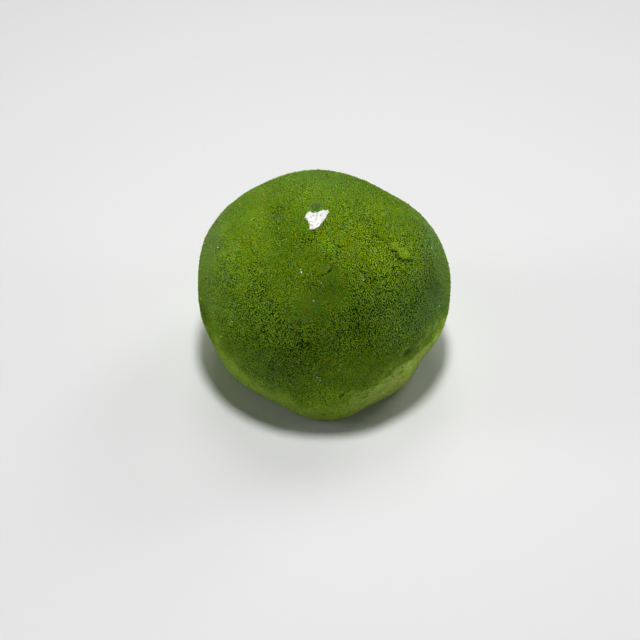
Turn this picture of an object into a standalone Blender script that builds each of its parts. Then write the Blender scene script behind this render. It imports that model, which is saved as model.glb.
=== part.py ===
"""Round mochi rice cake: one soft ball of rice dough that has sagged on to its foot.

The cake is a single closed solid. A sphere made of square faces is drawn to the
cake's height and girth, its lower half tapers to a sole whose rim keeps the lobes
where the dough was gathered, and a few broad swellings and hollows take away the
evenness of a turned shape. The rim of the sole curls up by a hair's breadth, so the
cake rests on a flat spot inside it.
"""

import math

import bmesh
import bpy
from mathutils import Matrix, Vector

MM = 0.001

# Driving dimensions
BELLY_RADIUS = 28.0 * MM
BELLY_HEIGHT = 19.7 * MM
CAKE_HEIGHT = 42.3 * MM
SOLE_RADIUS = 21.6 * MM

# The wall below the belly is a superellipse: 1 is a straight taper, 2 a round one
WALL_FULLNESS = 1.5
# Rays steeper than this below the level end on the sole
SOLE_ANGLE = math.radians(52.0)
# Share of the way down the wall where the swellings begin to fade into the sole
FADE_START = 0.55

# Gathers of dough round the sole: azimuth, reach past the sole, half width
SOLE_LOBES = (
    (-148.0, 1.3 * MM, 18.0),
    (-86.0, 3.7 * MM, 20.0),
    (-38.0, 1.4 * MM, 14.0),
    (28.0, 1.4 * MM, 20.0),
    (90.0, 1.8 * MM, 20.0),
    (150.0, 1.4 * MM, 20.0),
)

# Unevenness left by the hands: azimuth, elevation, half width, rise
SWELLINGS = (
    (157.0, 22.0, 18.0, 0.6 * MM),    # full back left shoulder
    (50.0, 38.0, 19.0, -1.4 * MM),    # flattened back right shoulder
    (-168.0, -12.0, 10.0, 1.0 * MM),  # straight left flank
    (-7.0, -5.0, 26.0, 0.8 * MM),     # full right flank
    (-14.0, -14.0, 11.0, 0.7 * MM),   # lower right bulge
    (-33.0, -31.0, 8.0, -1.3 * MM),   # dip under the right bulge
    (-38.0, 52.0, 13.0, 0.5 * MM),    # ledge to the right of the top
    (-62.0, 24.0, 9.0, -0.5 * MM),    # hollow under that ledge
    (-70.0, 3.0, 9.0, 0.4 * MM),      # small lobe in front
    (176.0, 62.0, 8.0, -0.4 * MM),    # crease beside the top
)

CAGE_CUTS = 12
SMOOTHING_LEVELS = 1

# Flat spot that the cake rests on, a little below the level cut of its foot
REST_RADIUS = 18.5 * MM
REST_CORNERS = 6
REST_TURN = math.radians(10.0)
RIM_LIFT = 0.15 * MM
WELD = 0.05 * MM

MATCHA_GREEN = (0.13, 0.24, 0.015, 1.0)
MATCHA_ROUGHNESS = 0.95


def clear_scene():
    """Remove every object of the startup scene."""
    for old in list(bpy.data.objects):
        bpy.data.objects.remove(old, do_unlink=True)


def smooth_step(value):
    """Rise smoothly from 0 at 0 to 1 at 1."""
    t = min(max(value, 0.0), 1.0)
    return t * t * (3.0 - 2.0 * t)


def bell(distance, half_width):
    """A rounded hump that is 1 at its middle."""
    return math.exp(-((distance / half_width) ** 2))


def turn_between(angle, other):
    """Smallest turn from one azimuth to another, in radians."""
    return abs((angle - other + math.pi) % (2.0 * math.pi) - math.pi)


def direction(azimuth_deg, elevation_deg):
    """Unit vector of a direction given in degrees."""
    azimuth = math.radians(azimuth_deg)
    elevation = math.radians(elevation_deg)
    level = math.cos(elevation)
    return Vector((level * math.cos(azimuth), level * math.sin(azimuth), math.sin(elevation)))


def upper_profile(elevation):
    """Radius and height of the dome: a quarter ellipse from the belly to the top."""
    rise = (CAKE_HEIGHT - BELLY_HEIGHT) * math.sin(elevation)
    return BELLY_RADIUS * math.cos(elevation), BELLY_HEIGHT + rise


def wall_profile(share):
    """Radius and height of the wall, from the belly at 0 to the sole's rim at 1."""
    turn = share * math.pi / 2.0
    inward, downward = math.cos(turn), math.sin(turn)
    scale = (inward ** WALL_FULLNESS + downward ** WALL_FULLNESS) ** (-1.0 / WALL_FULLNESS)
    tuck = BELLY_RADIUS - SOLE_RADIUS
    return SOLE_RADIUS + tuck * inward * scale, BELLY_HEIGHT * (1.0 - downward * scale)


def lobe_reach(azimuth):
    """How far the gathered dough stands out past the sole in one direction."""
    return sum(
        reach * bell(turn_between(azimuth, math.radians(lobe)), math.radians(half_width))
        for lobe, reach, half_width in SOLE_LOBES
    )


def swelling(ray):
    """Rise of the uneven surface along a unit direction."""
    return sum(
        rise * bell(ray.angle(direction(azimuth, elevation)), math.radians(half_width))
        for azimuth, elevation, half_width, rise in SWELLINGS
    )


def cake_point(ray):
    """Point of the cake's surface for a unit direction from its middle."""
    azimuth = math.atan2(ray.y, ray.x)
    elevation = math.asin(max(-1.0, min(1.0, ray.z)))
    if elevation >= 0.0:
        radius, height = upper_profile(elevation)
        gather, loose = 0.0, 1.0
    elif elevation > -SOLE_ANGLE:
        share = -elevation / SOLE_ANGLE
        radius, height = wall_profile(share)
        gather = smooth_step(share)
        loose = 1.0 - smooth_step((share - FADE_START) / (1.0 - FADE_START))
    else:
        gather = (math.pi / 2.0 + elevation) / (math.pi / 2.0 - SOLE_ANGLE)
        radius, height = SOLE_RADIUS * gather, 0.0
        loose = 0.0
    radius += gather * lobe_reach(azimuth)
    point = Vector((radius * math.cos(azimuth), radius * math.sin(azimuth), height))
    point += ray * (loose * swelling(ray))
    point.z = max(point.z, 0.0)
    return point


def centre_over_origin(cage):
    """Put the middle of the cage's box over the origin."""
    for axis in (0, 1):
        places = [vertex.co[axis] for vertex in cage.verts]
        middle = (min(places) + max(places)) / 2.0
        for vertex in cage.verts:
            vertex.co[axis] -= middle


def make_ball(collection):
    """The closed ball of dough, as a cage with a Subdivision Surface."""
    cage = bmesh.new()
    bmesh.ops.create_cube(cage, size=2.0)
    bmesh.ops.subdivide_edges(cage, edges=cage.edges[:], cuts=CAGE_CUTS, use_grid_fill=True)
    for vertex in cage.verts:
        even = Vector([math.tan(place * math.pi / 4.0) for place in vertex.co])
        vertex.co = cake_point(even.normalized())
    centre_over_origin(cage)
    mesh = bpy.data.meshes.new("ball")
    cage.to_mesh(mesh)
    cage.free()
    ball = bpy.data.objects.new("ball", mesh)
    collection.objects.link(ball)
    smoothing = ball.modifiers.new("Smoothing", "SUBSURF")
    smoothing.levels = SMOOTHING_LEVELS
    smoothing.render_levels = SMOOTHING_LEVELS
    return ball


def cut_level(body):
    """Cut the foot off level, and give back the edges of the open rim."""
    bmesh.ops.bisect_plane(
        body,
        geom=body.verts[:] + body.edges[:] + body.faces[:],
        plane_co=(0.0, 0.0, RIM_LIFT),
        plane_no=(0.0, 0.0, 1.0),
        clear_inner=True,
    )
    rim = {vertex for edge in body.edges if edge.is_boundary for vertex in edge.verts}
    bmesh.ops.remove_doubles(body, verts=list(rim), dist=WELD)
    return [edge for edge in body.edges if edge.is_boundary]


def add_rest(body, rim):
    """Close the open rim with a flat spot just below it."""
    spot = bmesh.ops.create_circle(
        body,
        cap_ends=True,
        radius=REST_RADIUS,
        segments=REST_CORNERS,
        matrix=Matrix.Rotation(REST_TURN, 4, "Z"),
    )
    corners = set(spot["verts"])
    outline = [edge for edge in body.edges if corners.issuperset(edge.verts)]
    bmesh.ops.bridge_loops(body, edges=rim + outline)
    bmesh.ops.recalc_face_normals(body, faces=body.faces[:])


def make_cake(collection):
    """One closed rice cake: the ball, cut level, with a flat spot to rest on."""
    ball = make_ball(collection)
    scene_state = bpy.context.evaluated_depsgraph_get()
    mesh = bpy.data.meshes.new_from_object(ball.evaluated_get(scene_state))
    mesh.name = "rice_cake"
    bpy.data.objects.remove(ball, do_unlink=True)
    body = bmesh.new()
    body.from_mesh(mesh)
    add_rest(body, cut_level(body))
    body.to_mesh(mesh)
    body.free()
    cake = bpy.data.objects.new("rice_cake", mesh)
    collection.objects.link(cake)
    return cake


def matcha_material():
    """Dull green tea powder."""
    material = bpy.data.materials.new("matcha_powder")
    material.use_nodes = True
    shader = material.node_tree.nodes["Principled BSDF"]
    shader.inputs["Base Color"].default_value = MATCHA_GREEN
    shader.inputs["Roughness"].default_value = MATCHA_ROUGHNESS
    shader.inputs["Metallic"].default_value = 0.0
    return material


def main():
    """Build the rice cake in its own collection."""
    clear_scene()
    collection = bpy.data.collections.new("Mochi rice cake")
    bpy.context.scene.collection.children.link(collection)
    cake = make_cake(collection)
    cake.data.materials.append(matcha_material())


main()
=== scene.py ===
# %% [markdown]
# # A matcha rice cake with a flake of silver leaf
#
# A daifuku is a ball of soft rice dough that has sagged on to its own flat sole. It is
# rolled in fine green tea powder, which clings in tiny clumps, and this one carries a
# small torn flake of edible silver leaf beside its top.
#
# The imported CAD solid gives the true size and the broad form, and it stays the same for
# every other tool. This script wraps it in a finer skin and scatters what the solid
# can't hold: clumps of powder, a loose crust, the leaf and a few flecks of silver.

import math

import bmesh
import bpy
import numpy as np
from mathutils import Matrix, Vector, noise
from mathutils.bvhtree import BVHTree


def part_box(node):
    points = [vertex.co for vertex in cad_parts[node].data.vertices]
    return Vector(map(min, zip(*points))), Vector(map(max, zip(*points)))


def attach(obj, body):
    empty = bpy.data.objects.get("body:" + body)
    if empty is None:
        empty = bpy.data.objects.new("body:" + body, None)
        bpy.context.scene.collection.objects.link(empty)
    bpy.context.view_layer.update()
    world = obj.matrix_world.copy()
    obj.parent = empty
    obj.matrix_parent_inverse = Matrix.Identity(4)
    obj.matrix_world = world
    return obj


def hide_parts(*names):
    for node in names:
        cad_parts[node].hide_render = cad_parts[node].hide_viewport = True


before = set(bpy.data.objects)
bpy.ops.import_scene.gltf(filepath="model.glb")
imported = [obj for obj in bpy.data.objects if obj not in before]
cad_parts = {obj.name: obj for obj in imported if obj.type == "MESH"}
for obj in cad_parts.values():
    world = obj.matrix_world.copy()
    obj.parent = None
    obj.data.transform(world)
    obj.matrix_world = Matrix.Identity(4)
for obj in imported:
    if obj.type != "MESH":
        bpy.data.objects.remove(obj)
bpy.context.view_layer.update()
MM = 0.001
cake_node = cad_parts["rice_cake"]
low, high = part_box("rice_cake")
cake_height = high.z - low.z
middle = Vector((0.0, 0.0, low.z + cake_height / 2.0))


def direction(azimuth, elevation):
    """Unit vector for a compass direction in degrees; azimuth 0 is +X and 90 is +Y."""
    azimuth, elevation = math.radians(azimuth), math.radians(elevation)
    level = math.cos(elevation)
    return Vector((level * math.cos(azimuth), level * math.sin(azimuth), math.sin(elevation)))


def new_object(name, mesh_or_light):
    """Link a new object at the origin."""
    made = bpy.data.objects.new(name, mesh_or_light)
    bpy.context.scene.collection.objects.link(made)
    return made


def mesh_object(name, shape):
    """Turn a bmesh into an object and free the bmesh."""
    mesh = bpy.data.meshes.new(name)
    shape.to_mesh(mesh)
    shape.free()
    return new_object(name, mesh)


print("cake box in mm", [round(side / MM, 1) for side in (high - low)])

# %% [markdown]
# ## The camera
#
# A portrait lens, about 74 mm on a full frame, looks down at the cake at 44 degrees from
# a forearm's length away. A long lens keeps the round form from bulging towards the
# viewer.

# %% Camera
LENS_MM = 74.03
SENSOR_MM = 36.0
LOOK_DOWN = math.radians(44.2)
CAMERA_PLACE = Vector((-0.96, -218.33, 219.41)) * MM

camera_data = bpy.data.cameras.new("camera")
camera_data.lens = LENS_MM
camera_data.sensor_width = SENSOR_MM
camera = bpy.data.objects.new("camera", camera_data)
camera.location = CAMERA_PLACE
camera.rotation_euler = (math.pi / 2.0 - LOOK_DOWN, 0.0, 0.0)
bpy.context.scene.collection.objects.link(camera)
bpy.context.scene.camera = camera
print("camera is", round((CAMERA_PLACE - middle).length / MM), "mm from the cake")

# %% [markdown]
# ## The table and the light
#
# The table is plain and pale. One small lamp straight above draws the round shadow. Wide
# lamps farther off brighten the flanks and the far side. The two at the sides hang so
# low that they hardly light the table, which keeps the shadow dark. Nothing shines from
# the front, so the steep front stays deep green.

# %% Table, lamps and world
FLOOR_SIZE = 8.0
FLOOR_GAP = 0.05 * MM
FILL_STRENGTH = 0.02
TABLE_WHITE = (0.80, 0.80, 0.80, 1.0)
TABLE_ROUGHNESS = 0.6
TABLE_GLOSS = 0.2
# name, azimuth, elevation, distance and width in metres, power in watts
LAMPS = (
    ("lamp_above", 60.0, 88.4, 0.48, 0.08, 1.70),
    ("lamp_low_left", 180.0, 10.0, 2.50, 1.20, 24.0),
    ("lamp_low_right", 0.0, 10.0, 2.50, 1.20, 12.0),
    ("lamp_behind_right", 45.0, 30.0, 2.50, 1.20, 13.5),
    ("lamp_behind", 90.0, 55.0, 2.50, 1.20, 12.0),
)

table_shape = bmesh.new()
bmesh.ops.create_grid(table_shape, x_segments=1, y_segments=1, size=FLOOR_SIZE / 2.0)
bmesh.ops.translate(table_shape, verts=table_shape.verts, vec=(0.0, 0.0, low.z - FLOOR_GAP))
table = mesh_object("table", table_shape)
table_finish = bpy.data.materials.new("pale_table")
table_finish.use_nodes = True
table_shader = table_finish.node_tree.nodes["Principled BSDF"]
table_shader.inputs["Base Color"].default_value = TABLE_WHITE
table_shader.inputs["Roughness"].default_value = TABLE_ROUGHNESS
table_shader.inputs["Specular IOR Level"].default_value = TABLE_GLOSS
table.data.materials.append(table_finish)


def hang_lamp(name, azimuth, elevation, distance, width, power):
    """A round soft lamp that faces the cake."""
    light = bpy.data.lights.new(name, "AREA")
    light.shape = "DISK"
    light.size = width
    light.energy = power
    lamp = new_object(name, light)
    lamp.location = middle + direction(azimuth, elevation) * distance
    lamp.rotation_euler = (middle - lamp.location).to_track_quat("-Z", "Y").to_euler()


for lamp_row in LAMPS:
    hang_lamp(*lamp_row)

world = bpy.data.worlds.new("soft_room")
world.use_nodes = True
world.node_tree.nodes["Background"].inputs["Color"].default_value = (1.0, 1.0, 1.0, 1.0)
world.node_tree.nodes["Background"].inputs["Strength"].default_value = FILL_STRENGTH
bpy.context.scene.world = world
bpy.context.scene.view_settings.view_transform = "Standard"
print("lamps:", [row[0] for row in LAMPS])

# %% [markdown]
# ## Named places on the cake
#
# The powder isn't even. Some places are pressed smooth, some are coarse, some are painted
# darker or brighter, partly as painted shade and painted light, and round the foot it is
# thin. Each place is found by throwing a ray from the middle in a compass direction, so it
# lies on the surface whatever the cake's size. The tables after that are read like a map:
# go to this place and add this much there.

# %% The solid, and where a direction meets it
SAME_POINT = 0.001 * MM

solid = bmesh.new()
solid.from_mesh(cake_node.data)
bmesh.ops.remove_doubles(solid, verts=solid.verts, dist=SAME_POINT)
solid_tree = BVHTree.FromBMesh(solid)
print("solid has", len(solid.faces), "faces")
solid.free()


def surface_at(azimuth, elevation, tree=solid_tree):
    """Point of a surface and its outward normal in a compass direction."""
    place, normal, _, _ = tree.ray_cast(middle, direction(azimuth, elevation))
    return place, normal


def places_of(rows):
    """Rows of azimuth, elevation, half width in mm and amount, as places on the cake."""
    return [(np.array(surface_at(a, e)[0]), width * MM, amount) for a, e, width, amount in rows]


def spread(points, places):
    """Sum of rounded humps, one for each place, at many points."""
    total = np.zeros(len(points))
    for place, width, amount in places:
        away = np.linalg.norm(points - place, axis=1)
        total += amount * np.exp(-((away / width) ** 2))
    return total


def smooth_step(values, start, end):
    """Rise smoothly from 0 at start to 1 at end."""
    t = np.clip((values - start) / (end - start), 0.0, 1.0)
    return t * t * (3.0 - 2.0 * t)


def cloud(points, width_mm, seed):
    """Soft noise at many points, with lumps about width_mm wide."""
    shift = Vector((seed, 2.0 * seed, 3.0 * seed))
    return np.array([noise.noise(Vector(point) / (width_mm * MM) + shift) for point in points])


def line_distance(points, route):
    """Distance from many points to a line through a few compass directions."""
    corners = [np.array(surface_at(azimuth, elevation)[0]) for azimuth, elevation in route]
    nearest = np.full(len(points), np.inf)
    for start, end in zip(corners, corners[1:]):
        along = end - start
        share = np.clip((points - start) @ along / (along @ along), 0.0, 1.0)
        away = np.linalg.norm(points - start - share[:, None] * along, axis=1)
        nearest = np.minimum(nearest, away)
    return nearest


# %% Coarse places and pressed places
# Each row of these tables: azimuth, elevation, half width in mm, amount
COARSE = places_of((
    (-34, 42, 4.0, 0.50), (-59, 35, 4.5, 0.45), (-68, 23, 4.0, 0.50), (-55, 10, 5.5, 0.90),
    (-126, 21, 4.5, 0.50), (-106, 13, 4.5, 0.50), (-110, 63, 3.0, 0.30), (-112, -3, 6.0, 0.80),
    (-131, 36, 3.0, 0.25), (-178, 64, 2.2, 0.25), (-40, 22, 4.5, 0.60), (-82, 12, 4.0, 0.35),
    (-135, 2, 5.0, 0.60), (-92, -17, 6.0, 0.22), (-150, 24, 4.0, 0.30), (-16, 32, 5.0, 0.35),
    (-52, 4, 3.0, 0.40), (-25, 24, 4.0, 0.40), (-38, 64, 6.0, 0.18), (-130, -8, 4.0, 0.25),
    (-120, -19, 4.0, 0.30), (-145, 74, 4.0, 0.12), (-70, -20, 4.0, 0.25), (-105, -8, 4.0, 0.30),
    (-105, -14, 3.0, 0.20),
))
PRESSED = places_of((
    (-98, 28, 2.6, 0.90), (-84, 32, 2.2, 0.60), (-92, 46, 1.5, 0.80), (167, 42, 5.0, 0.50),
    (-62, -8, 4.5, 0.45), (-72, 2, 2.0, 0.20), (-48, -12, 3.0, 0.35), (-82, -8, 3.0, 0.20),
    (110, 50, 6.0, 0.30), (-178, 60, 4.0, 0.20), (-141, 83.4, 1.3, 0.70), (-50.5, -6, 1.5, 0.80),
    (-124, 42, 3.0, 0.30),
))
print("coarse and pressed places:", len(COARSE), len(PRESSED))

# %% Places painted brighter, partly as painted light, and places painted darker, partly as painted shade
# Places painted brighter: the rows low on the foot are painted light bounced up from the table, the
# others brighter patches
BRIGHTER_AND_PAINTED_LIGHT = places_of((
    (-161, 32, 3.0, 0.26), (-178, 51, 2.6, 0.20), (-29, 40, 2.6, 0.40), (-45, 44, 3.2, 0.38),
    (-71, 35, 2.5, 0.16), (-83, 61, 3.0, 0.18), (-57, 55, 2.5, 0.10), (-29, 54, 2.5, 0.14),
    (-145, 40, 5.0, 0.12), (-182, 38, 4.0, 0.12), (-178, 15, 3.0, 0.18), (-150, 3, 3.0, 0.20),
    (-83, -5, 4.0, 0.18), (-35, -4, 4.0, 0.22), (-147, -4, 4.0, 0.18), (-85, 57, 1.2, 0.10),
    (-88, -21, 3.5, 0.60), (-28, -14, 3.0, 0.30), (-118, -4, 4.0, 0.12), (-128, -23, 4.0, 0.05),
    (-66, -22, 3.5, 0.26), (-46, -20, 3.5, 0.38), (-50, 24, 5.0, 0.10), (-18, -13, 3.0, 0.30),
    (-140, 35, 2.5, 0.09), (-15, 36, 4.0, 0.10), (-19, -7, 2.5, 0.18), (-30, -16, 2.5, 0.20),
    (-52, 5, 2.0, 0.12), (-75, -22, 2.5, 0.14), (-150, 24, 2.5, 0.08), (-80, 5, 2.0, 0.08),
    (8, 55, 4.0, 0.18), (165, 75, 4.0, 0.15), (-150, 30, 3.0, 0.10), (-35, 73, 5.0, 0.13),
    (-45, 59, 4.0, 0.10), (-20, 32, 4.0, 0.09), (-55, -4, 2.5, 0.14), (-50, 34, 3.0, 0.08),
    (-95, -23, 4.0, 0.15), (-26, -12, 3.0, 0.20),
))
# Places painted darker: painted shade in the dents and on the steep front, and other darker patches
DARKER_AND_PAINTED_SHADE = places_of((
    (146, 56, 1.8, 0.14), (-172, 61, 1.8, 0.20), (-140, 56, 1.8, 0.10), (-36, 53, 1.6, 0.20),
    (-94, 34, 3.2, 0.14), (-76, 31, 3.6, 0.18), (-78, 13, 4.5, 0.20), (-96, 9, 4.0, 0.24),
    (-46, 15, 4.0, 0.20), (-112, -8, 4.5, 0.20), (-119, 12, 4.5, 0.10), (-20, 14, 5.0, 0.16),
    (-60, 24, 2.0, 0.12), (-40, 6, 2.0, 0.10), (-140, 66, 5.0, 0.08), (-125, 54, 3.0, 0.13),
    (-100, 55, 2.5, 0.12), (-80, 36, 2.5, 0.09), (-12, 52, 7.0, 0.09), (-31, -5, 2.0, 0.14),
    (-130, -15, 3.0, 0.12), (-10, 15, 3.0, 0.12), (-76, 17, 2.5, 0.08), (-193, 42, 4.0, 0.10),
    (-167, 61.4, 1.0, 0.14), (-153, 61.6, 1.0, 0.12), (-98, 25, 3.5, 0.13), (-22, 23, 4.5, 0.14),
    (-27, 14, 3.5, 0.22), (-110, 5, 2.0, 0.20), (-45, 65, 3.5, 0.12), (-100, 43, 4.5, 0.12),
    (-95, 25, 4.0, 0.14), (-162, 10, 4.0, 0.14), (-25, 15, 5.0, 0.05), (-66, 17, 4.0, 0.12),
    (-35, 46, 3.0, 0.08), (-175, 66, 4.0, 0.08), (-120, 27, 2.5, 0.08), (-86, 41, 3.0, 0.10),
    (-70, 5, 2.0, 0.12), (-121, 42, 4.0, 0.08), (-160, -5, 2.0, 0.20), (-84, 34, 2.0, 0.06),
    (-162, -5, 2.5, 0.20),
))
print("dusty and damp places:", len(BRIGHTER_AND_PAINTED_LIGHT), len(DARKER_AND_PAINTED_SHADE))

# %% Places where the powder is yellower, or less yellow, and greyer, partly as painted sheen
YELLOW = places_of((
    (-60, 52, 9.0, 0.30), (-176, 55, 4.0, 0.35), (-40, 45, 6.0, 0.25), (-60, 5, 2.5, 0.30),
    (-150, 40, 6.0, 0.15), (-60, -20, 5.0, 0.10), (-80, 66, 3.0, 0.20), (-80, 30, 4.0, -0.30),
    (-33, 20, 5.0, -0.25), (-115, -12, 6.0, -0.35), (-60, 35, 3.0, -0.10), (-120, 5, 4.0, -0.15),
))
# Greyer places: the rows at the left and right edges of the outline are painted sheen, the others greyer
# patches
GREYER_AND_SHEEN = places_of((
    (-52, 10, 6.0, 0.80), (-33, 9, 5.0, 0.60), (-62, 25, 4.0, 0.30), (-100, 12, 9.0, 0.18),
    (-140, 12, 6.0, 0.25), (-115, -9, 5.5, 0.40), (-85, 12, 3.0, 0.10), (-22, 12, 4.0, 0.25),
    (-25, 0, 4.0, 0.90), (3, 22, 4.0, 0.90), (-185, 20, 4.0, 0.40), (-152, 3, 3.0, 0.35),
    (-56, 4, 3.0, 0.30), (-40, 0, 5.0, 0.40), (103, 52, 7.0, 0.35), (66, 60, 5.0, 0.25),
    (-160, 61.5, 1.5, 0.40), (-141, 83.4, 1.3, 1.00), (-50.5, -6, 1.1, 1.00),
))
print("yellower and greyer places:", len(YELLOW), len(GREYER_AND_SHEEN))

# %% Dents, caked powder, dark marks and cracks
DENTS = places_of((
    (-50.5, -6, 1.0, 0.55), (-67, 21, 1.3, 0.30), (-76, 13, 1.4, 0.25), (-92, 46, 1.9, 0.35),
    (-172, 61, 2.0, 0.25), (146, 56, 2.0, 0.20), (-140, 56, 2.0, 0.15), (-84, 32, 2.0, 0.20),
))
CRUST = places_of((
    (-34.2, 44.0, 0.85, 1.00), (-31.0, 43.6, 0.85, 1.00), (-31.8, 39.4, 0.90, 0.90),
    (-28.0, 38.2, 0.90, 0.90), (-32.6, 37.4, 0.90, 0.80), (-29.6, 35.8, 0.90, 0.90),
))
# Dark marks with a clear edge, the one in the dimple low on the front as painted shade: azimuth,
# elevation, radius in mm, share
MARKS = places_of(((-50.3, -6.3, 1.40, 0.65), (-142.0, 83.5, 1.15, 0.60)))

# Cracks: route of compass directions, half width in mm, depth in mm
CRACKS = (
    (((-38.6, 43.8), (-36.0, 42.6), (-34.2, 41.4)), 0.20, 0.50),
    (((-36.2, 40.0), (-36.6, 38.0), (-35.0, 35.6)), 0.28, 0.70),
    (((-34.4, 34.8), (-31.5, 33.2), (-28.6, 32.2)), 0.22, 0.55),
    (((-37.6, 34.6), (-33.2, 32.6)), 0.12, 0.25),
    (((-80.4, 48.6), (-83.7, 47.3), (-85.5, 45.3)), 0.11, 0.14),
    (((-85.5, 45.0), (-88.4, 43.1), (-91.8, 42.1), (-94.7, 41.3)), 0.15, 0.34),
    (((-99.7, 38.0), (-94.0, 36.7)), 0.10, 0.12),
    (((-81.0, -19.8), (-83.0, -21.3)), 0.22, 0.35),
    (((-116.5, 57.0), (-114.0, 58.5)), 0.14, 0.25),
)
print("dents, caked spots, marks and cracks:", len(DENTS), len(CRUST), len(MARKS), len(CRACKS))

# %% [markdown]
# ## The smooth body
#
# A sphere with poles would crowd its faces at the top, right where the eye falls, so the
# skin starts as a cube with a fine grid on each side. Every point is thrown outward from
# the middle until it meets the CAD solid, and a little smoothing rounds the facets. Only
# under the leaf and round the cracks, the caked powder and one mark is the grid cut
# twice more.

# %% Wrap a fine grid round the solid
SKIN_CUTS = 110
SMOOTHING_PASSES = 8
WALL_START = 0.3 * MM

skin = bmesh.new()
bmesh.ops.create_cube(skin, size=2.0)
bmesh.ops.subdivide_edges(skin, edges=skin.edges[:], cuts=SKIN_CUTS, use_grid_fill=True)
print("grid has", len(skin.faces), "faces")

# %% Lay the cube's six sides out flat
# The UV map is for the export: a sheet of three by two squares, one for each side
CHART_COLUMNS, CHART_ROWS = 3, 2
CHART_MARGIN = 0.006


def cube_side(face):
    """Which of the cube's six sides a face lies on, and the two axes along it."""
    centre = face.calc_center_median()
    axis = max(range(3), key=lambda k: abs(centre[k]))
    side = axis * 2 + (centre[axis] > 0.0)
    return side, (axis + 1) % 3, (axis + 2) % 3


def chart_place(coordinate):
    """From -1 to 1 along the cube, to 0 to 1 along its square, less a margin."""
    return (coordinate + 1.0) / 2.0 * (1.0 - 2.0 * CHART_MARGIN) + CHART_MARGIN


bake_map = skin.loops.layers.uv.new("OFBake")
for face in skin.faces:
    side, across, up = cube_side(face)
    column, row = side % CHART_COLUMNS, side // CHART_COLUMNS
    for loop in face.loops:
        u, v = chart_place(loop.vert.co[across]), chart_place(loop.vert.co[up])
        loop[bake_map].uv = ((column + u) / CHART_COLUMNS, (row + v) / CHART_ROWS)
print("flat sheet is", CHART_COLUMNS, "by", CHART_ROWS, "squares")

# %% Throw the points on to the solid and smooth them
for vertex in skin.verts:
    even = Vector([math.tan(place * math.pi / 4.0) for place in vertex.co]).normalized()
    vertex.co = solid_tree.ray_cast(middle, even)[0]

wall = [vertex for vertex in skin.verts if vertex.co.z > low.z + WALL_START]


def smooth(shape, verts, passes):
    """Even out some points of a bmesh a few times."""
    for _ in range(passes):
        bmesh.ops.smooth_vert(
            shape, verts=verts, factor=0.5, use_axis_x=True, use_axis_y=True, use_axis_z=True
        )


smooth(skin, wall, SMOOTHING_PASSES)
print("smoothed", len(wall), "points")

# %% Cut the grid finer where the detail is
# Azimuth, elevation, radius in mm
FINE_SPOTS = (
    (-31, 39, 4.6), (-87, 45, 3.6), (-109, 75, 4.2), (-82, -21, 1.4), (-50, -6, 1.8),
    (-97, 37, 1.6), (-115, 58, 1.2),
)
FINE_ROUNDS = 2
FINE_STEP = 0.5 * MM
fine_places = [(surface_at(a, e)[0], radius * MM) for a, e, radius in FINE_SPOTS]


def near_fine_spot(vertex, margin):
    """True where a point lies inside one of the fine spots, less a margin."""
    return any((vertex.co - place).length < radius - margin for place, radius in fine_places)


for fine_round in range(FINE_ROUNDS):
    inside = {vertex for vertex in skin.verts if near_fine_spot(vertex, fine_round * FINE_STEP)}
    edges = [edge for edge in skin.edges if inside.issuperset(edge.verts)]
    bmesh.ops.subdivide_edges(skin, edges=edges, cuts=1, use_grid_fill=True)
rice_cake = mesh_object("rice_cake_skin", skin)
rice_cake.data.shade_smooth()
print("skin has", len(rice_cake.data.vertices), "points and", len(rice_cake.data.polygons), "faces")

# %% [markdown]
# ## How the powder lies
#
# Every later layer asks the same questions of a place: how coarse is the powder here, how
# bright, how thin? Each answer is one short function over an array of points, so the
# skin, the loose clumps and the colours always agree.

# %% How coarse and how bright
# Noise that roughens an answer: size in mm, seed and amount
COARSE_CLOUDS = ((4.0, 3.0, 0.35),)
BRIGHT_CLOUDS = ((4.5, 11.0, 0.13), (1.9, 5.0, 0.09))
PLAIN_COARSENESS = 0.65
COARSE_LIMITS = (0.15, 2.0)
MOST_PRESSED = 0.7
BRIGHT_LIMITS = (0.25, 1.7)


def clouds(points, layers):
    """Sum of several soft noises at many points."""
    return sum(amount * cloud(points, width, seed) for width, seed, amount in layers)


def coarseness(points):
    """How coarse the powder lies: 0 is pressed smooth, and 2 is roughest."""
    level = PLAIN_COARSENESS + clouds(points, COARSE_CLOUDS) + spread(points, COARSE)
    pressed_flat = np.minimum(MOST_PRESSED, spread(points, PRESSED))
    return np.clip(level * (1.0 - pressed_flat), *COARSE_LIMITS)


def brightness(points):
    """How bright the powder is painted, about 0.5 to 1.5, with painted light and shade in it."""
    level = 1.0 + spread(points, BRIGHTER_AND_PAINTED_LIGHT) - spread(points, DARKER_AND_PAINTED_SHADE)
    return np.clip(level * (1.0 + clouds(points, BRIGHT_CLOUDS)), *BRIGHT_LIMITS)


top_point = np.array([surface_at(0.0, 90.0)[0]])
print("coarseness at the top:", coarseness(top_point).round(2))
print("brightness at the top:", brightness(top_point).round(2))

# %% How thin round the foot
# The thin powder round the foot: azimuth, height in mm and share of dough that shows
FOOT = (
    (-180, 11.0, 0.25), (-158, 15.0, 0.22), (-142, 16.5, 0.26), (-134, 15.0, 0.28), (-125, 12.5, 0.31),
    (-110, 10.0, 0.26), (-97, 8.5, 0.25), (-85, 10.0, 0.25), (-71, 13.0, 0.60), (-58, 15.5, 1.00),
    (-42, 20.5, 1.00), (-28, 21.0, 0.65), (20, 12.0, 0.25), (90, 8.0, 0.15), (180, 11.0, 0.25),
)
FOOT_CLOUDS = ((3.5, 2.0, 0.45), (1.2, 9.0, 0.25))
PALE_CLOUDS = ((1.8, 4.0, 1.00),)
# Shares of the thin powder's height between which it thickens
FOOT_FADE = (0.60, 1.20)
PALE_LEVEL = 0.92
PALE_START = 0.25


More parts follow.
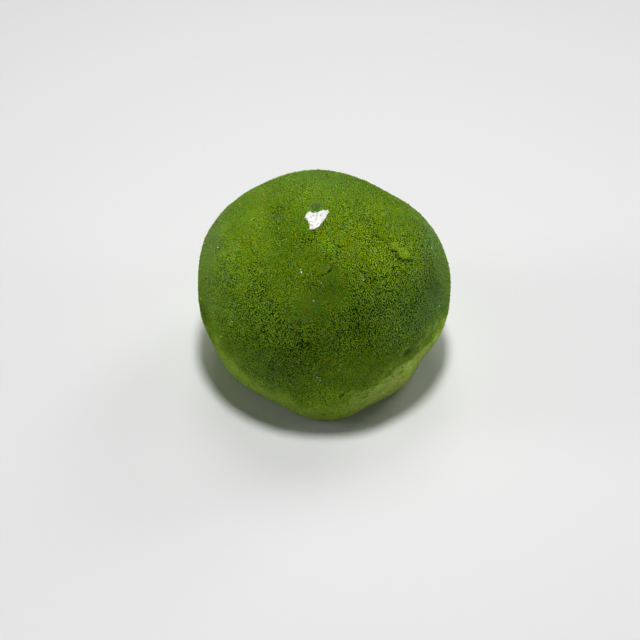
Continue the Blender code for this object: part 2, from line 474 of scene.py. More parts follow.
def azimuth_of(points):
    """Compass azimuth of many points, in degrees."""
    return np.degrees(np.arctan2(points[:, 1], points[:, 0]))


def thinness(points):
    """How thin the powder is round the foot, from 0 to 1."""
    ragged = 1.0 + clouds(points, FOOT_CLOUDS)
    azimuths, heights, _ = zip(*FOOT)
    top = np.interp(azimuth_of(points), azimuths, heights) * MM * ragged
    thick_from, thick_at = FOOT_FADE
    return 1.0 - smooth_step(points[:, 2] - low.z, thick_from * top, thick_at * top)


def paleness(points):
    """How much dough shows through the thin powder, from 0 to 1."""
    azimuths, _, shares = zip(*FOOT)
    share = np.interp(azimuth_of(points), azimuths, shares)
    blotches = np.clip(PALE_LEVEL + clouds(points, PALE_CLOUDS), 0.0, 1.0)
    return smooth_step(thinness(points), PALE_START, 1.0) * share * blotches


print("thinness at the top:", thinness(top_point).round(2))

# %% Dark marks, and cracks with painted shade
MARK_CLOUDS = ((0.8, 8.0, 0.35),)
CRACK_WOBBLES = ((0.7, 6.0, 1.10),)
CRACK_BREAKS = ((0.45, 17.0, 1.10),)
# Shares of a mark's radius where it begins to fade and where it ends
MARK_EDGE = (0.75, 1.15)
CRACK_LEVEL = 0.70


def marks(points):
    """How much of a clear-edged dark mark covers each point, from 0 to 1."""
    total = np.zeros(len(points))
    ragged = 1.0 + clouds(points, MARK_CLOUDS)
    fade_from, fade_to = MARK_EDGE
    for place, radius, share in MARKS:
        away = np.linalg.norm(points - place, axis=1) * ragged
        total += share * (1.0 - smooth_step(away, fade_from * radius, fade_to * radius))
    return total


def crack_depth(points):
    """Depth of the cracks in mm, and how much painted shade they get, from 0 to 1."""
    depth, dark = np.zeros(len(points)), np.zeros(len(points))
    wobble = 1.0 + clouds(points, CRACK_WOBBLES)
    broken = np.clip(CRACK_LEVEL + clouds(points, CRACK_BREAKS), 0.0, 1.0)
    for route, half_width, deep in CRACKS:
        groove = broken * np.exp(-((line_distance(points, route) / (half_width * MM * wobble)) ** 2))
        depth, dark = np.maximum(depth, deep * groove), np.maximum(dark, groove)
    return depth, dark


print("marks and cracks at the top:", marks(top_point).round(2), crack_depth(top_point)[1].round(2))

# %% [markdown]
# ## Relief of the powder
#
# Powder can be a bump in the material, but then the outline stays glassy and the lamp
# finds nothing to catch. So the points of the skin really move: long soft waves from the
# hands, clumps a millimetre across, pits between them, two flakes of caked powder and a
# few cracks. The height is kept as an attribute too, for the painted shade that darkens
# the pits.

# %% Move the skin's points
# Waves and clumps: size and height in mm
HAND_WAVES = ((12.0, 0.24), (5.5, 0.11))
CLUMP_SCALES = ((2.6, 0.036), (1.25, 0.026), (0.85, 0.026))
PIT_DEPTH = 0.08
PIT_SIZE, PIT_SEED = 1.05, 31.0
PIT_EDGE = (0.28, 0.60)
MOST_ROUGH = 1.4
CALM_WHERE_THIN = 0.75
CRUST_CLOUDS = ((0.7, 13.0, 0.25),)
CRUST_EDGE = (0.42, 0.62)
CRUST_RISE = 0.32
FOOT_CALM = 1.0 * MM

points = np.empty(len(rice_cake.data.vertices) * 3)
rice_cake.data.vertices.foreach_get("co", points)
points = points.reshape(-1, 3)
normals = np.empty(len(points) * 3)
rice_cake.data.vertex_normals.foreach_get("vector", normals)
normals = normals.reshape(-1, 3)

thin, coarse = thinness(points), coarseness(points)
waves = sum(rise * cloud(points, width, width) for width, rise in HAND_WAVES)
clumps = sum(rise * cloud(points, width, 2.0 * width) for width, rise in CLUMP_SCALES)
pits = -PIT_DEPTH * smooth_step(cloud(points, PIT_SIZE, PIT_SEED), *PIT_EDGE)
fine = np.minimum(coarse, MOST_ROUGH) * (1.0 - CALM_WHERE_THIN * thin) * (clumps + pits)
crust = smooth_step(spread(points, CRUST) + clouds(points, CRUST_CLOUDS), *CRUST_EDGE)
cracks, crack_shade = crack_depth(points)
rise = waves + fine + CRUST_RISE * crust - cracks - spread(points, DENTS)
rise *= smooth_step(points[:, 2], low.z, low.z + FOOT_CALM)
moved = points + normals * (rise * MM)[:, None]
moved[:, 2] = np.maximum(moved[:, 2], low.z)
rice_cake.data.vertices.foreach_set("co", moved.reshape(-1))
rice_cake.data.update()
print("skin reaches", round(moved[:, 2].max() / MM, 2), "mm up")

# %% Keep the answers on the skin, for its finish
# Height up to which the painted grazing light, shaded grains with bright tips, is full, and from which
# there is none
TIPS_FULL, TIPS_NONE = 8.0 * MM, 36.0 * MM
TIPS_SHARE = 0.75
YELLOW_LEVEL = 0.12
YELLOW_CLOUDS = ((3.0, 21.0, 0.30),)
GREY_CLOUDS = ((2.5, 23.0, 1.00),)
GREY_SHARE = 0.25

marked = marks(points)
low_down = 1.0 - smooth_step(points[:, 2] - low.z, TIPS_FULL, TIPS_NONE)
FIELDS = {
    "height_for_pit_shade": 0.5 + 3.0 * fine,
    "grainy": np.minimum(coarse, 1.0) * (1.0 - 0.35 * thin) * (1.0 - 0.5 * crust) * (1.0 - 0.8 * marked),
    "rough": np.clip(coarse - 0.8, 0.0, 1.0) * (1.0 - crust),
    "bright": brightness(points),
    "yellow": YELLOW_LEVEL + clouds(points, YELLOW_CLOUDS) + spread(points, YELLOW),
    "grey": GREY_SHARE * np.clip(clouds(points, GREY_CLOUDS), 0.0, 1.0) + spread(points, GREYER_AND_SHEEN),
    "crust": crust,
    "thin": thin,
    "pale": paleness(points),
    "painted_crack_shade": crack_shade,
    "painted_grazing_light": TIPS_SHARE * (1.0 - 0.8 * thin) * low_down,
    "mark": marked,
}
for field_name, values in FIELDS.items():
    layer = rice_cake.data.attributes.new(field_name, "FLOAT", "POINT")
    layer.data.foreach_set("value", values)
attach(rice_cake, "root")
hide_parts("rice_cake")
print("skin carries", ", ".join(FIELDS))

# %% [markdown]
# ## The powder's finish
#
# Tea powder has no gloss at all, only a soft sheen where it turns away. Its colour
# comes from the mix of fresh, yellower and greyer grains, from painted shade between them
# and painted highlights on them, and from pale dough where the powder is thin, which is
# also painted brighter as light bounced up from the table. Every green is a plain value
# here, and each place on the cake mixes its own.

# %% Greens of the powder
# Painted shade between the grains and in the pits
GRAIN_SHADE = (0.003, 0.010, 0.000, 1.0)
GRAIN_FRESH = (0.185, 0.410, 0.002, 1.0)
GRAIN_YELLOW = (0.290, 0.390, 0.000, 1.0)
GRAIN_GREY = (0.140, 0.330, 0.080, 1.0)
GRAIN_PALE_AND_HIGHLIGHT = (0.430, 0.670, 0.080, 1.0)
GRAIN_OCHRE = (0.330, 0.400, 0.002, 1.0)
GRAIN_DUSTY = (0.260, 0.470, 0.130, 1.0)
# Painted highlight on the grain tips low on the cake
TIP_HIGHLIGHT = (0.480, 0.820, 0.050, 1.0)
# Painted shade for the cracks
CRACK_SHADE = (0.002, 0.008, 0.001, 1.0)
MARK_GREEN = (0.045, 0.085, 0.020, 1.0)
FLAKE_GREEN = (0.060, 0.120, 0.004, 1.0)
SPECK_GREEN = (0.50, 0.58, 0.25, 1.0)
CRUST_GREEN = (0.310, 0.475, 0.012, 1.0)
# Thin powder round the foot, painted brighter also as light bounced up from the table
THIN_POWDER_AND_BOUNCE_LIGHT = (0.335, 0.590, 0.008, 1.0)
DOUGH = (0.80, 1.00, 0.20, 1.0)
SHEEN_TINT = (0.85, 1.00, 0.80, 1.0)
POWDER_ROUGHNESS = 0.95
POWDER_SHEEN = 0.17
SHEEN_ROUGHNESS = 0.22
print("fresh green is", GRAIN_FRESH[:3])


# %% Helpers for node materials
def new_finish(name, roughness, sheen=0.0):
    """A node material and its shader, matt by default."""
    finish = bpy.data.materials.new(name)
    finish.use_nodes = True
    shader = finish.node_tree.nodes["Principled BSDF"]
    shader.inputs["Roughness"].default_value = roughness
    shader.inputs["Specular IOR Level"].default_value = 0.0
    shader.inputs["Sheen Weight"].default_value = sheen
    shader.inputs["Sheen Roughness"].default_value = SHEEN_ROUGHNESS
    shader.inputs["Sheen Tint"].default_value = SHEEN_TINT
    return finish, finish.node_tree, shader


def add_noise(tree, scale, detail, roughness=0.5, shift=0.0):
    """Noise in the object's own space, so that it stays on the piece."""
    place = tree.nodes.new("ShaderNodeTexCoord")
    moved_place = tree.nodes.new("ShaderNodeMapping")
    moved_place.inputs["Location"].default_value = (shift, shift, shift)
    cloud_node = tree.nodes.new("ShaderNodeTexNoise")
    cloud_node.inputs["Scale"].default_value = scale
    cloud_node.inputs["Detail"].default_value = detail
    cloud_node.inputs["Roughness"].default_value = roughness
    tree.links.new(place.outputs["Object"], moved_place.inputs["Vector"])
    tree.links.new(moved_place.outputs["Vector"], cloud_node.inputs["Vector"])
    return cloud_node.outputs["Fac"]


def add_ramp(tree, value, low_stop, high_stop):
    """Stretch a value so that low_stop becomes 0 and high_stop becomes 1."""
    ramp = tree.nodes.new("ShaderNodeMapRange")
    ramp.interpolation_type = "SMOOTHSTEP"
    ramp.inputs["From Min"].default_value = low_stop
    ramp.inputs["From Max"].default_value = high_stop
    tree.links.new(value, ramp.inputs["Value"])
    return ramp.outputs["Result"]


def add_product(tree, first, second):
    """Multiply two values."""
    times = tree.nodes.new("ShaderNodeMath")
    times.operation = "MULTIPLY"
    tree.links.new(first, times.inputs[0])
    tree.links.new(second, times.inputs[1])
    return times.outputs["Value"]


def add_mix(tree, share, first, second, blend="MIX"):
    """Mix two colours; each is a socket or a plain colour, and so is the share."""
    mix = tree.nodes.new("ShaderNodeMix")
    mix.data_type = "RGBA"
    mix.blend_type = blend
    for socket_name, value in (("Factor", share), ("A", first), ("B", second)):
        if isinstance(value, bpy.types.NodeSocket):
            tree.links.new(value, mix.inputs[socket_name])
        else:
            mix.inputs[socket_name].default_value = value
    return mix.outputs["Result"]


def add_attribute(tree, name, output="Fac"):
    """A value or colour that the mesh carries at its points."""
    attribute = tree.nodes.new("ShaderNodeAttribute")
    attribute.attribute_name = name
    return attribute.outputs[output]


powder, tree, shader = new_finish("matcha_powder", POWDER_ROUGHNESS, sheen=POWDER_SHEEN)
print("blank finish:", powder.name)

# %% Mix the greens of each place
# Noise values between which a yellower or greyer patch begins and is full
YELLOW_EDGE = (0.50, 0.64)
GREY_EDGE = (0.52, 0.68)

yellow_noise = add_noise(tree, scale=600.0, detail=3.0, roughness=0.70)
grey_noise = add_noise(tree, scale=700.0, detail=4.0, roughness=0.75, shift=0.3)
greens = add_mix(tree, add_ramp(tree, yellow_noise, *YELLOW_EDGE), GRAIN_FRESH, GRAIN_YELLOW)
greens = add_mix(tree, add_ramp(tree, grey_noise, *GREY_EDGE), greens, GRAIN_GREY)
greens = add_mix(tree, add_attribute(tree, "yellow"), greens, GRAIN_YELLOW)
greens = add_mix(tree, add_attribute(tree, "grey"), greens, GRAIN_GREY)
greens = add_mix(tree, add_attribute(tree, "crust"), greens, CRUST_GREEN)
# Round the foot: thin powder, painted brighter also as light bounced up from the table
greens = add_mix(tree, add_attribute(tree, "thin"), greens, THIN_POWDER_AND_BOUNCE_LIGHT)
greens = add_mix(tree, add_attribute(tree, "pale"), greens, DOUGH)
print("so far", len(tree.nodes), "nodes")

# %% [markdown]
# ## The grains
#
# Real grains are finer than a mesh should hold, so a Voronoi texture packs the space with
# cells and gives the distance from each cell's middle. Far from a middle is a gap in
# painted shade, close to it a bright grain. The middles stand in loose rows, which would
# show as rings on a round thing, so the coordinates drift to and fro before the texture
# reads them.

# %% A texture of packed grains
GRAINS_PER_METRE = 4000.0
GRAIN_DISORDER = 0.65
# Scale along x, y and z, where less than 1 makes a grain longer, and turn in radians
GRAIN_SHAPE = (0.85, 1.10, 1.10)
GRAIN_TURN = (0.5, 0.3, 0.2)
# The rows drift out of line by up to this much
GRAIN_DRIFT = 0.7 * MM
DRIFTS_PER_METRE = 450.0


def add_grains(tree):
    """Packed grains: distance from each one's middle, and three random values."""
    place = tree.nodes.new("ShaderNodeTexCoord")
    drift = tree.nodes.new("ShaderNodeTexNoise")
    drift.inputs["Scale"].default_value = DRIFTS_PER_METRE
    drift.inputs["Detail"].default_value = 0.0
    drifted = tree.nodes.new("ShaderNodeVectorMath")
    drifted.operation = "MULTIPLY_ADD"
    drifted.inputs[1].default_value = (GRAIN_DRIFT, GRAIN_DRIFT, GRAIN_DRIFT)
    flatter = tree.nodes.new("ShaderNodeMapping")
    flatter.inputs["Scale"].default_value = GRAIN_SHAPE
    flatter.inputs["Rotation"].default_value = GRAIN_TURN
    cells = tree.nodes.new("ShaderNodeTexVoronoi")
    cells.inputs["Scale"].default_value = GRAINS_PER_METRE
    cells.inputs["Randomness"].default_value = GRAIN_DISORDER
    parts = tree.nodes.new("ShaderNodeSeparateColor")
    tree.links.new(place.outputs["Object"], drift.inputs["Vector"])
    tree.links.new(drift.outputs["Color"], drifted.inputs[0])
    tree.links.new(place.outputs["Object"], drifted.inputs[2])
    tree.links.new(drifted.outputs["Vector"], flatter.inputs["Vector"])
    tree.links.new(flatter.outputs["Vector"], cells.inputs["Vector"])
    tree.links.new(cells.outputs["Color"], parts.inputs["Color"])
    return (cells.outputs["Distance"], *parts.outputs)


gap, tone, ochre, dust = add_grains(tree)
print("grains are", 1.0 / GRAINS_PER_METRE / MM, "mm apart")

# %% Draw the grains
# Distances from a grain's middle between which it turns from grain to a gap in painted shade
GAP_EDGE = (0.34, 0.60)
ROUGH_GAP_EDGE = (0.34, 0.52)
# Distances between which its painted highlight, a bright heart, begins and is full
ROUGH_HEART = (0.42, 0.05)
TIP_HEART = (0.46, 0.18)
# Relief heights between which a pit gets painted shade
PIT_SHADE_EDGE = (0.32, -0.25)
# Random values between which a grain turns ochre, dusty or pale
OCHRE_GRAINS = (0.83, 0.90)
DUSTY_GRAINS = (0.88, 0.93)
PALE_GRAINS = (0.75, 1.20)
# Pressed powder shows no grains, only the mean of painted pale hearts and the painted shade of the gaps
PRESSED_PALE, PRESSED_SHADE = 0.15, 0.45
TIP_SHADE = 0.80

pressed = add_mix(tree, PRESSED_PALE, greens, GRAIN_PALE_AND_HIGHLIGHT)
pressed = add_mix(tree, PRESSED_SHADE, pressed, GRAIN_SHADE)
grained = add_mix(tree, add_ramp(tree, ochre, *OCHRE_GRAINS), greens, GRAIN_OCHRE)
grained = add_mix(tree, add_ramp(tree, dust, *DUSTY_GRAINS), grained, GRAIN_DUSTY)
grained = add_mix(tree, add_ramp(tree, tone, *PALE_GRAINS), grained, GRAIN_PALE_AND_HIGHLIGHT)
# Coarse grains get a painted highlight in their middles and painted shade in their gaps
coarse_grains = add_mix(tree, add_ramp(tree, gap, *ROUGH_HEART), grained, GRAIN_PALE_AND_HIGHLIGHT)
coarse_grains = add_mix(tree, add_ramp(tree, gap, *ROUGH_GAP_EDGE), coarse_grains, GRAIN_SHADE)
grained = add_mix(tree, add_ramp(tree, gap, *GAP_EDGE), grained, GRAIN_SHADE)
grained = add_mix(tree, add_attribute(tree, "rough"), grained, coarse_grains)
# Low down the light only grazes the powder, so there the grains get painted shade and their tips painted
# highlights
shade = add_mix(tree, TIP_SHADE, greens, GRAIN_SHADE)
painted_grazing = add_mix(tree, add_ramp(tree, gap, *TIP_HEART), shade, TIP_HIGHLIGHT)
grained = add_mix(tree, add_attribute(tree, "painted_grazing_light"), grained, painted_grazing)
grainy = add_attribute(tree, "grainy")
greens = add_mix(tree, grainy, pressed, grained)
# Painted shade in the pits of the relief
pit_shade = add_product(tree, add_ramp(tree, add_attribute(tree, "height_for_pit_shade"), *PIT_SHADE_EDGE), grainy)
greens = add_mix(tree, pit_shade, greens, GRAIN_SHADE)
# The brightness field scales every green, painted light and shade included
greens = add_mix(tree, 1.0, greens, add_attribute(tree, "bright", "Color"), blend="MULTIPLY")
print("so far", len(tree.nodes), "nodes")

# %% Flakes, pale specks, dark marks, and painted shade in the cracks
FLAKE_EDGE = (0.66, 0.72)
SPECK_EDGE = (0.75, 0.81)
BUMP_DEPTH = 0.20 * MM

flakes = add_ramp(tree, add_noise(tree, scale=1500.0, detail=1.0, shift=2.3), *FLAKE_EDGE)
flakes = add_product(tree, flakes, add_attribute(tree, "thin"))
greens = add_mix(tree, flakes, greens, FLAKE_GREEN)
specks = add_ramp(tree, add_noise(tree, scale=3600.0, detail=1.0, shift=1.1), *SPECK_EDGE)
greens = add_mix(tree, specks, greens, SPECK_GREEN)
# Dark marks, the one in the dimple as painted shade
greens = add_mix(tree, add_attribute(tree, "mark"), greens, MARK_GREEN)
# Painted shade in the cracks
greens = add_mix(tree, add_attribute(tree, "painted_crack_shade"), greens, CRACK_SHADE)
tree.links.new(greens, shader.inputs["Base Color"])
bump = tree.nodes.new("ShaderNodeBump")
bump.invert = True
bump.inputs["Strength"].default_value = 1.0
bump.inputs["Distance"].default_value = BUMP_DEPTH
tree.links.new(gap, bump.inputs["Height"])
tree.links.new(bump.outputs["Normal"], shader.inputs["Normal"])
rice_cake.data.materials.append(powder)
print("powder finish has", len(tree.nodes), "nodes")

# %% [markdown]
# ## Loose clumps of powder
#
# The last layer is thousands of clumps, most of them 0.1 to 0.4 mm across, which roughen
# the outline. One octahedron is made with an operator, and arrays repeat it over the
# skin, which is far quicker than an operator call for each clump and keeps every clump to
# eight faces. Each clump takes one of a few greens, times the brightness painted on the
# cake at its place, painted light and shade included.

# %% Kinds of clump
rng = np.random.default_rng(7)
# name, count, radius in mm
CLUMP_KINDS = (
    ("matcha_grit", 12000, 0.07),
    ("matcha_clumps_small", 12000, 0.09),
    ("matcha_clumps_large", 6000, 0.12),
)
CLUMP_DEEP = (0.065, 0.140, 0.000, 1.0)
CLUMP_GREENS = np.array((CLUMP_DEEP, GRAIN_FRESH, GRAIN_YELLOW, GRAIN_GREY, GRAIN_PALE_AND_HIGHLIGHT))
CLUMP_CHANCES = (0.24, 0.42, 0.18, 0.10, 0.06)
SIZE_SPREAD = 0.25
SIZE_LIMITS = (0.5, 2.2)
STRETCH = (0.65, 1.35)
# How far a clump's middle stands out of the skin, as a share of its radius
STAND_OUT = (-0.25, 0.45)
TINT_RANGE = (0.75, 1.25)
# A clump's chance is this plus the coarseness, less up to a share where powder is thin
CLUMP_LEAST = 0.25
THIN_LOSS = 0.85
# Height above the foot where clumps begin and where they are as many as elsewhere
CLUMP_START, CLUMP_FULL = 1.0 * MM, 3.0 * MM
print("clumps to scatter:", sum(count for _, count, _ in CLUMP_KINDS))

# %% Where clumps lie
def clump_chance(centre):
    """Clumps are many where the powder is coarse, few where it is thin, none below."""
    share = (CLUMP_LEAST + coarseness(centre)) * (1.0 - THIN_LOSS * thinness(centre))
    return share * smooth_step(centre[:, 2], low.z + CLUMP_START, low.z + CLUMP_FULL)


def mesh_arrays(mesh):
    """Corners, normal and area of every triangle of a mesh."""
    mesh.calc_loop_triangles()
    corners = np.empty(len(mesh.vertices) * 3)
    mesh.vertices.foreach_get("co", corners)
    index = np.empty(len(mesh.loop_triangles) * 3, dtype=int)
    mesh.loop_triangles.foreach_get("vertices", index)
    triangles = corners.reshape(-1, 3)[index.reshape(-1, 3)]
    normal = np.cross(triangles[:, 1] - triangles[:, 0], triangles[:, 2] - triangles[:, 0])
    length = np.linalg.norm(normal, axis=1)
    return triangles, normal / length[:, None], length / 2.0


skin_triangles, skin_normals, skin_areas = mesh_arrays(rice_cake.data)
skin_chance = skin_areas * clump_chance(skin_triangles.mean(axis=1))
skin_chance /= skin_chance.sum()


def skin_samples(count):
    """Random points of the skin and the normal at each."""
    picked = rng.choice(len(skin_areas), size=count, p=skin_chance)
    u, v = rng.random((2, count, 1))
    flip = (u + v) > 1.0
    u, v = np.where(flip, 1.0 - u, u), np.where(flip, 1.0 - v, v)
    a, b, c = (skin_triangles[picked, k] for k in range(3))
    return a + u * (b - a) + v * (c - a), skin_normals[picked]


print("chosen from", len(skin_areas), "triangles")


# %% Scatter clumps
def octahedron():
    """Corner and face arrays of one octahedron of radius 1."""
    stone = bmesh.new()
    bmesh.ops.create_uvsphere(stone, u_segments=4, v_segments=2, radius=1.0)
    stone.verts.index_update()
    corners = np.array([vertex.co[:] for vertex in stone.verts])
    faces = np.array([[vertex.index for vertex in face.verts] for face in stone.faces])
    stone.free()
    return corners, faces


def random_turns(count):
    """Random rotation matrices from random quaternions."""
    quaternion = rng.normal(size=(count, 4))
    w, x, y, z = (quaternion / np.linalg.norm(quaternion, axis=1)[:, None]).T
    return np.stack([
        np.stack([1 - 2 * (y * y + z * z), 2 * (x * y - z * w), 2 * (x * z + y * w)], -1),
        np.stack([2 * (x * y + z * w), 1 - 2 * (x * x + z * z), 2 * (y * z - x * w)], -1),
        np.stack([2 * (x * z - y * w), 2 * (y * z + x * w), 1 - 2 * (x * x + y * y)], -1),
    ], 1)


def scatter(name, count, radius_mm, finish):
    """One mesh of many rough clumps, half sunk in the skin."""
    corners, faces = octahedron()
    place, normal = skin_samples(count)
    radius = radius_mm * MM * np.clip(np.exp(rng.normal(0.0, SIZE_SPREAD, count)), *SIZE_LIMITS)
    stretch = rng.uniform(*STRETCH, (count, 1, 3))
    shape = (corners[None] * stretch) @ random_turns(count).transpose(0, 2, 1)
    centre = place + normal * (radius * rng.uniform(*STAND_OUT, count))[:, None]
    corner_places = (shape * radius[:, None, None] + centre[:, None]).reshape(-1, 3)
    corner_places[:, 2] = np.maximum(corner_places[:, 2], low.z)
    index = (faces[None] + (np.arange(count) * len(corners))[:, None, None]).reshape(-1, 3)
    mesh = bpy.data.meshes.new(name)
    mesh.from_pydata(corner_places.tolist(), [], index.tolist())
    green = CLUMP_GREENS[rng.choice(len(CLUMP_GREENS), size=count, p=CLUMP_CHANCES)]
    green = green * (brightness(place) * rng.uniform(*TINT_RANGE, count))[:, None]
    green[:, 3] = 1.0
    tint = mesh.attributes.new("tint", "FLOAT_COLOR", "POINT")
    tint.data.foreach_set("color", np.repeat(green, len(corners), axis=0).reshape(-1))
    # Each clump has its own square of the flat sheet for the export
    cells = math.ceil(math.sqrt(count))
    cell = np.stack([np.arange(count) % cells, np.arange(count) // cells], -1)
    flat = 0.5 + 0.3 * corners[faces][..., :2]
    spots = (cell[:, None, None] + flat[None]) / cells
    uv = mesh.uv_layers.new(name="OFBake")
    uv.data.foreach_set("uv", spots.reshape(-1).tolist())
    mesh.materials.append(finish)
    made = new_object(name, mesh)
    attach(made, "root")
    print(name, "has", len(mesh.polygons), "faces")


clump_finish, tree, shader = new_finish("matcha_clumps", POWDER_ROUGHNESS, sheen=POWDER_SHEEN)
tree.links.new(add_attribute(tree, "tint", "Color"), shader.inputs["Base Color"])
for clump_row in CLUMP_KINDS:
    scatter(*clump_row, clump_finish)

# %% [markdown]
# ## The flake of silver leaf
#
# Silver leaf is beaten so thin that it tears like wet paper and takes the shape of what
# lies under it. A flat outline dropped on the top would float, so a fine grid is trimmed
# to the torn outline, each point is lowered on to the powder, and the grid is smoothed a
# little, because foil spans the smallest pits.

# %% Leaf outline and trimmed grid
# Corners of the torn outline in mm, x to the right and y to the back, from its middle
LEAF_OUTLINE = (
    (-2.45, 0.55), (-2.40, 0.95), (-2.05, 1.65), (-1.80, 2.20), (-1.25, 2.30), (-0.70, 1.85),
    (-0.42, 1.75), (-0.20, 2.25), (0.05, 1.80), (0.85, 2.25), (1.60, 2.90), (1.90, 2.50),
    (2.55, 2.85), (2.85, 1.95), (2.35, 1.30), (2.25, 0.50), (1.45, -0.80), (0.72, -2.10),
    (0.10, -2.55), (-0.45, -2.90), (-1.15, -2.95), (-1.45, -2.75), (-1.38, -2.15), (-1.70, -0.60),
)
LEAF_AZIMUTH, LEAF_ELEVATION = -109.0, 75.0
LEAF_CELLS = 70
LEAF_HALF_SIZE = 3.3
LEAF_SCALE = 0.97
TEAR_SCALE, TEAR_DEPTH = 3.0, 0.10

outline = [Vector((x, y, 0.0)) * LEAF_SCALE for x, y in LEAF_OUTLINE]
outline_edges = list(zip(outline, outline[1:] + outline[:1]))


def inside_outline(point):
    """Even-odd test: does a line to the right cross the outline an odd number of times?"""
    crossings = 0
    for start, end in outline_edges:
        if (start.y > point.y) != (end.y > point.y):
            share = (point.y - start.y) / (end.y - start.y)
            crossings += point.x < start.x + share * (end.x - start.x)
    return crossings % 2 == 1


def nearest_on_outline(point):
    """Nearest point of the outline."""
    best = None
    for start, end in outline_edges:
        along = end - start
        share = min(1.0, max(0.0, (point - start).dot(along) / along.length_squared))
        found = start + along * share
        if best is None or (found - point).length < (best - point).length:
            best = found
    return best


leaf_shape = bmesh.new()
bmesh.ops.create_grid(leaf_shape, x_segments=LEAF_CELLS, y_segments=LEAF_CELLS, size=LEAF_HALF_SIZE)
outside = [face for face in leaf_shape.faces if not inside_outline(face.calc_center_median())]
bmesh.ops.delete(leaf_shape, geom=outside, context="FACES")
for vertex in leaf_shape.verts:
    if vertex.is_boundary:
        torn = noise.noise(vertex.co * TEAR_SCALE) * TEAR_DEPTH
        vertex.co = nearest_on_outline(vertex.co) + Vector((torn, torn, 0.0))
print("leaf has", len(leaf_shape.faces), "faces")

# %% Lay the leaf on the powder
LEAF_LIFT = 0.14
LEAF_THICKNESS = 0.03
EDGE_DIP = 0.08
# Crumples of the foil: waves for each mm, and height in mm
CRUMPLES = ((1.1, 0.10), (2.7, 0.05))
DROP_HEIGHT = 3.0 * MM
LEAF_SMOOTHING = 2

skin_shape = bmesh.new()
skin_shape.from_mesh(rice_cake.data)
skin_tree = BVHTree.FromBMesh(skin_shape)
skin_shape.free()

leaf_middle, leaf_up = surface_at(LEAF_AZIMUTH, LEAF_ELEVATION)
leaf_right = (Vector((1.0, 0.0, 0.0)) - leaf_up * leaf_up.x).normalized()
leaf_back = leaf_up.cross(leaf_right)


def drop_on_skin(across, along):
    """Where a point of the leaf's flat drawing comes to lie on the powder."""
    start = leaf_middle + leaf_right * across + leaf_back * along + leaf_up * DROP_HEIGHT
    return skin_tree.ray_cast(start, -leaf_up)[0]


for vertex in leaf_shape.verts:
    crumple = sum(rise * noise.noise(vertex.co * waves_per_mm) for waves_per_mm, rise in CRUMPLES)
    edge_dip = EDGE_DIP if vertex.is_boundary else 0.0
    landed = drop_on_skin(vertex.co.x * MM, vertex.co.y * MM)
    vertex.co = landed + leaf_up * (LEAF_LIFT + crumple - edge_dip) * MM
inner = [vertex for vertex in leaf_shape.verts if not vertex.is_boundary]
smooth(leaf_shape, inner, LEAF_SMOOTHING)
leaf = mesh_object("silver_leaf", leaf_shape)
leaf.data.shade_smooth()
body_of_leaf = leaf.modifiers.new("Thickness", "SOLIDIFY")
body_of_leaf.thickness = LEAF_THICKNESS * MM
body_of_leaf.offset = 1.0
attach(leaf, "root")
print("leaf lies", LEAF_LIFT, "mm above the powder")

# %% [markdown]
# ## Flecks of silver
#
# Scraps that tore off the leaf lie on the powder, most of them smaller than a grain of
# sugar. Each is a flattened, slightly turned pebble, so it keeps a body at this size.

# %% Flecks
# azimuth, elevation, length, width, turn in degrees
FLECKS = (
    (-105.9, 42.5, 0.75, 0.34, -68.0), (-106.9, 43.9, 0.30, 0.20, -40.0), (-96.0, 30.0, 0.30, 0.20, 80.0),
    (-92.1, 38.4, 0.24, 0.15, 10.0), (-65.7, 37.2, 0.50, 0.14, -48.0), (-93.0, -8.0, 0.50, 0.26, -50.0),
    (-92.0, -10.0, 0.45, 0.25, -60.0), (-94.5, -6.5, 0.25, 0.18, 0.0), (-7.4, 24.5, 0.46, 0.38, 20.0),
    (-26.1, 4.3, 0.40, 0.22, -60.0), (-135.8, 8.2, 0.34, 0.22, 40.0), (-171.0, 26.0, 0.40, 0.26, 15.0),
    (-30.1, 27.4, 0.28, 0.16, 50.0), (-101.0, 2.0, 0.26, 0.18, 80.0), (-121.9, 23.9, 0.24, 0.14, -30.0),
    (-110.1, -2.9, 0.26, 0.16, 20.0), (-104.2, -2.4, 0.26, 0.14, -50.0), (-85.0, 5.6, 0.24, 0.14, 0.0),
)
FLECK_THICKNESS = 0.10
FLECK_UNEVENNESS = 0.3
FLECK_LIFT = 0.12 * MM
FLECK_TILT = 0.25
FLECK_LUMP = 0.2 * MM

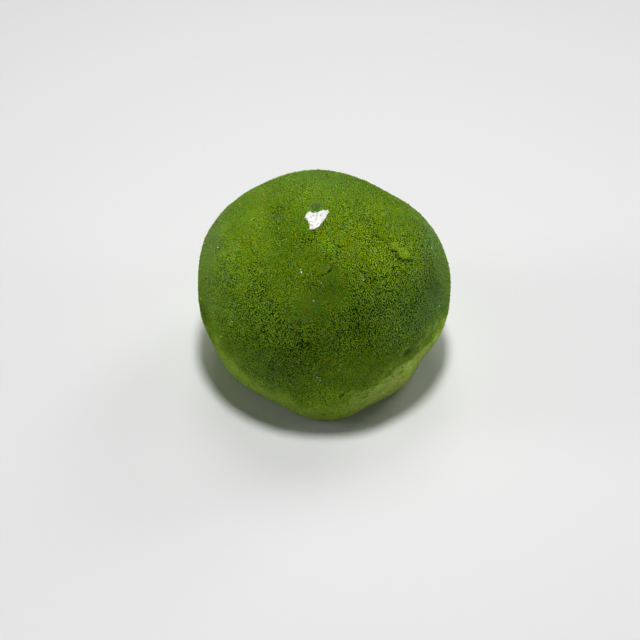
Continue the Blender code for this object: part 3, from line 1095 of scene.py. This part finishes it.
flecks_shape = bmesh.new()
for azimuth, elevation, length, width, turn in FLECKS:
    place, normal = surface_at(azimuth, elevation, skin_tree)
    scrap = bmesh.ops.create_icosphere(flecks_shape, subdivisions=1, radius=0.5 * MM)["verts"]
    bmesh.ops.scale(flecks_shape, verts=scrap, vec=(length, width, FLECK_THICKNESS))
    for vertex in scrap:
        vertex.co *= 1.0 + FLECK_UNEVENNESS * noise.noise(vertex.co / FLECK_LUMP + place / MM)
    facing = normal.to_track_quat("Z", "Y").to_matrix()
    turned = facing @ Matrix.Rotation(math.radians(turn), 3, "Z") @ Matrix.Rotation(FLECK_TILT, 3, "X")
    lie = Matrix.Translation(place + normal * FLECK_LIFT) @ turned.to_4x4()
    bmesh.ops.transform(flecks_shape, verts=scrap, matrix=lie)
flecks = mesh_object("silver_flecks", flecks_shape)
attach(flecks, "root")
print("flecks:", len(FLECKS))

# %% [markdown]
# ## Silver
#
# Foil this thin isn't a mirror. The powder prints through it and breaks the gloss into
# grey and white, so the finish is mostly a light paint with a little metal in it. The
# flecks are too small to show a print, and catch the light as plain white scraps.

# %% Silver finishes
SILVER = (0.78, 0.78, 0.75, 1.0)
SILVER_DULL = (0.42, 0.43, 0.38, 1.0)
SCRAP_WHITE = (0.98, 0.98, 0.86, 1.0)
SILVER_ROUGHNESS = 0.5
SILVER_METAL = 0.25
SILVER_GLOSS = 0.5
PRINT_EDGE = (0.36, 0.56)
PRINT_STRENGTH = 0.6
PRINT_DEPTH = 0.08 * MM

silver, tree, shader = new_finish("silver_leaf", SILVER_ROUGHNESS)
shader.inputs["Metallic"].default_value = SILVER_METAL
shader.inputs["Specular IOR Level"].default_value = SILVER_GLOSS
print_through = add_ramp(tree, add_noise(tree, scale=2400.0, detail=2.0, roughness=0.6), *PRINT_EDGE)
tree.links.new(add_mix(tree, print_through, SILVER_DULL, SILVER), shader.inputs["Base Color"])
bump = tree.nodes.new("ShaderNodeBump")
bump.inputs["Strength"].default_value = PRINT_STRENGTH
bump.inputs["Distance"].default_value = PRINT_DEPTH
tree.links.new(add_noise(tree, scale=1500.0, detail=3.0, roughness=0.6), bump.inputs["Height"])
tree.links.new(bump.outputs["Normal"], shader.inputs["Normal"])
leaf.data.materials.append(silver)
scrap_finish, tree, shader = new_finish("silver_scraps", SILVER_ROUGHNESS)
shader.inputs["Base Color"].default_value = SCRAP_WHITE
flecks.data.materials.append(scrap_finish)
print("silver pieces:", leaf.name, flecks.name)
